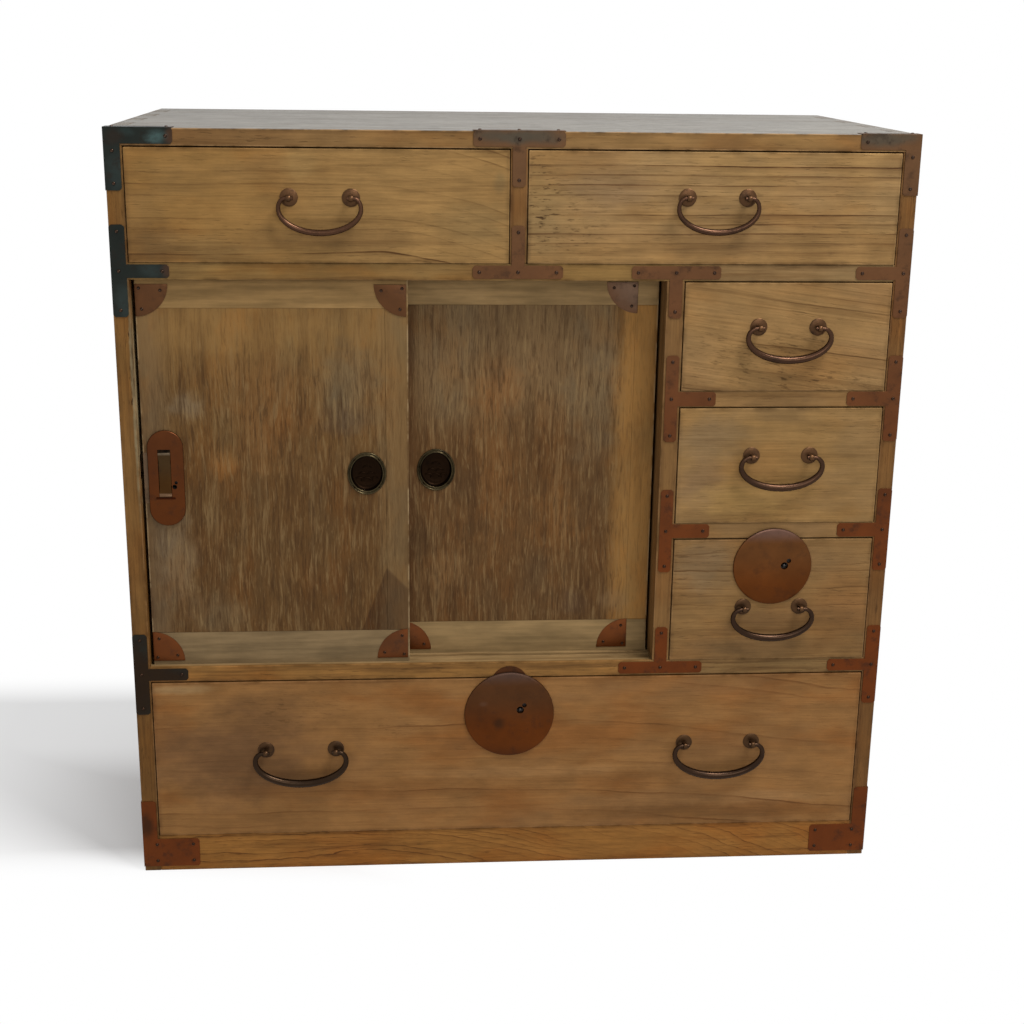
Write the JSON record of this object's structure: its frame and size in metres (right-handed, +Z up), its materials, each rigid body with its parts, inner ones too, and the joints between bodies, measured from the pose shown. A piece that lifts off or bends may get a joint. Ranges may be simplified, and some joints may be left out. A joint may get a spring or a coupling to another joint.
{
  "type": "clothing chest",
  "caption": "Low clothing chest with two top drawers, sliding cupboard doors beside a stack of small drawers, a wide bottom drawer, bail handles and metal corner straps.",
  "frame": {"origin": "on the floor under the middle of the whole chest, handles included", "axes": "+X to the right as seen from the front, -Y out of the front, +Z up"},
  "size_m": [0.9036, 0.477, 0.8948],
  "materials": {
    "carcass_wood": "old oiled paulownia, matt",
    "drawer_wood": "old oiled paulownia, matt",
    "inner_wood": "bare paulownia",
    "door_wood": "brushed paulownia, matt",
    "copper_plate": "old brown copper",
    "copper_strap": "old brown copper",
    "handle_bronze": "dark worn bronze",
    "lock_iron": "old iron"
  },
  "bodies": {
    "carcass": {"lower_rail": "carcass_wood", "upper_rail": "carcass_wood", "stack_rails": "carcass_wood", "dust_boards": "inner_wood", "floor_board": "inner_wood", "base_rail": "carcass_wood", "top_divider": "carcass_wood", "partition": "carcass_wood", "top_board": "carcass_wood", "left_side": "carcass_wood", "right_side": "carcass_wood", "back_boards": "inner_wood", "lock_strikes": "copper_plate", "side_tee_straps": "copper_strap", "inner_tee_straps": "copper_strap", "top_corner_straps": "copper_strap", "base_corner_straps": "copper_strap", "strap_nails": "copper_strap"},
    "top_left_drawer": {"top_left_drawer_front": "drawer_wood", "top_left_drawer_box": "inner_wood", "top_left_drawer_eyes": "handle_bronze"},
    "top_right_drawer": {"top_right_drawer_front": "drawer_wood", "top_right_drawer_box": "inner_wood", "top_right_drawer_eyes": "handle_bronze"},
    "upper_small_drawer": {"upper_small_drawer_front": "drawer_wood", "upper_small_drawer_box": "inner_wood", "upper_small_drawer_eyes": "handle_bronze"},
    "middle_small_drawer": {"middle_small_drawer_front": "drawer_wood", "middle_small_drawer_box": "inner_wood", "middle_small_drawer_eyes": "handle_bronze"},
    "lower_small_drawer": {"lower_small_drawer_front": "drawer_wood", "lower_small_drawer_box": "inner_wood", "lower_small_drawer_eyes": "handle_bronze", "lower_small_drawer_lock_plate": "copper_plate", "lower_small_drawer_lock_case": "lock_iron"},
    "bottom_drawer": {"bottom_drawer_front": "drawer_wood", "bottom_drawer_box": "inner_wood", "bottom_drawer_eyes": "handle_bronze", "bottom_drawer_lock_plate": "copper_plate", "bottom_drawer_lock_case": "lock_iron"},
    "front_door": {"front_door_frame": "door_wood", "front_door_panel": "door_wood", "front_door_fittings": "copper_plate", "door_lock_plate": "copper_plate", "door_lock_case": "lock_iron"},
    "rear_door": {"rear_door_frame": "door_wood", "rear_door_panel": "door_wood", "rear_door_fittings": "copper_plate"},
    "top_left_bail": {"top_left_bail": "handle_bronze"},
    "top_right_bail": {"top_right_bail": "handle_bronze"},
    "upper_small_bail": {"upper_small_bail": "handle_bronze"},
    "middle_small_bail": {"middle_small_bail": "handle_bronze"},
    "lower_small_bail": {"lower_small_bail": "handle_bronze"},
    "bottom_left_bail": {"bottom_left_bail": "handle_bronze"},
    "bottom_right_bail": {"bottom_right_bail": "handle_bronze"},
    "lower_small_drawer_bolt": {"lower_small_drawer_bolt": "lock_iron"},
    "bottom_drawer_bolt": {"bottom_drawer_bolt": "lock_iron"},
    "door_latch_bar": {"door_latch_bar": "copper_plate"},
    "door_hook": {"door_hook": "lock_iron"}
  },
  "joints": [
    {"name": "top_left_drawer_slide", "type": "slide", "parent": "carcass", "child": "top_left_drawer", "axis": [0, -1, 0], "range_m": [0, 0.32]},
    {"name": "top_right_drawer_slide", "type": "slide", "parent": "carcass", "child": "top_right_drawer", "axis": [0, -1, 0], "range_m": [0, 0.32]},
    {"name": "upper_small_drawer_slide", "type": "slide", "parent": "carcass", "child": "upper_small_drawer", "axis": [0, -1, 0], "range_m": [0, 0.32]},
    {"name": "middle_small_drawer_slide", "type": "slide", "parent": "carcass", "child": "middle_small_drawer", "axis": [0, -1, 0], "range_m": [0, 0.32]},
    {"name": "lower_small_drawer_slide", "type": "slide", "parent": "carcass", "child": "lower_small_drawer", "axis": [0, -1, 0], "range_m": [0, 0.32]},
    {"name": "bottom_drawer_slide", "type": "slide", "parent": "carcass", "child": "bottom_drawer", "axis": [0, -1, 0], "range_m": [0, 0.32]},
    {"name": "front_door_slide", "type": "slide", "parent": "carcass", "child": "front_door", "axis": [1, 0, 0], "range_m": [-0.003, 0.292]},
    {"name": "rear_door_slide", "type": "slide", "parent": "carcass", "child": "rear_door", "axis": [1, 0, 0], "range_m": [-0.293, 0.0025]},
    {"name": "top_left_bail_hinge", "type": "hinge", "parent": "top_left_drawer", "child": "top_left_bail", "pos_m": [-0.21925, -0.2337, 0.82], "axis": [-1, 0, 0], "range_deg": [-9, 180]},
    {"name": "top_right_bail_hinge", "type": "hinge", "parent": "top_right_drawer", "child": "top_right_bail", "pos_m": [0.22285, -0.2337, 0.8225], "axis": [-1, 0, 0], "range_deg": [-9, 180]},
    {"name": "upper_small_bail_hinge", "type": "hinge", "parent": "upper_small_drawer", "child": "upper_small_bail", "pos_m": [0.312, -0.2337, 0.677], "axis": [-1, 0, 0], "range_deg": [-9, 180]},
    {"name": "middle_small_bail_hinge", "type": "hinge", "parent": "middle_small_drawer", "child": "middle_small_bail", "pos_m": [0.312, -0.2337, 0.525], "axis": [-1, 0, 0], "range_deg": [-9, 180]},
    {"name": "lower_small_bail_hinge", "type": "hinge", "parent": "lower_small_drawer", "child": "lower_small_bail", "pos_m": [0.312, -0.2337, 0.337], "axis": [-1, 0, 0], "range_deg": [-9, 180]},
    {"name": "bottom_left_bail_hinge", "type": "hinge", "parent": "bottom_drawer", "child": "bottom_left_bail", "pos_m": [-0.2555, -0.2337, 0.1602], "axis": [-1, 0, 0], "range_deg": [-7, 180]},
    {"name": "bottom_right_bail_hinge", "type": "hinge", "parent": "bottom_drawer", "child": "bottom_right_bail", "pos_m": [0.2555, -0.2337, 0.1602], "axis": [-1, 0, 0], "range_deg": [-7, 180]},
    {"name": "lower_small_drawer_bolt_slide", "type": "slide", "parent": "lower_small_drawer", "child": "lower_small_drawer_bolt", "axis": [0, 0, 1], "range_m": [0, 0.008]},
    {"name": "bottom_drawer_bolt_slide", "type": "slide", "parent": "bottom_drawer", "child": "bottom_drawer_bolt", "axis": [0, 0, 1], "range_m": [0, 0.008]},
    {"name": "door_latch_bar_slide", "type": "slide", "parent": "front_door", "child": "door_latch_bar", "axis": [0, 0, 1], "range_m": [0, 0.003]},
    {"name": "door_hook_hinge", "type": "hinge", "parent": "front_door", "child": "door_hook", "pos_m": [-0.4195, -0.2065, 0.501], "axis": [0, -1, 0], "range_deg": [0, 70]}
  ]
}
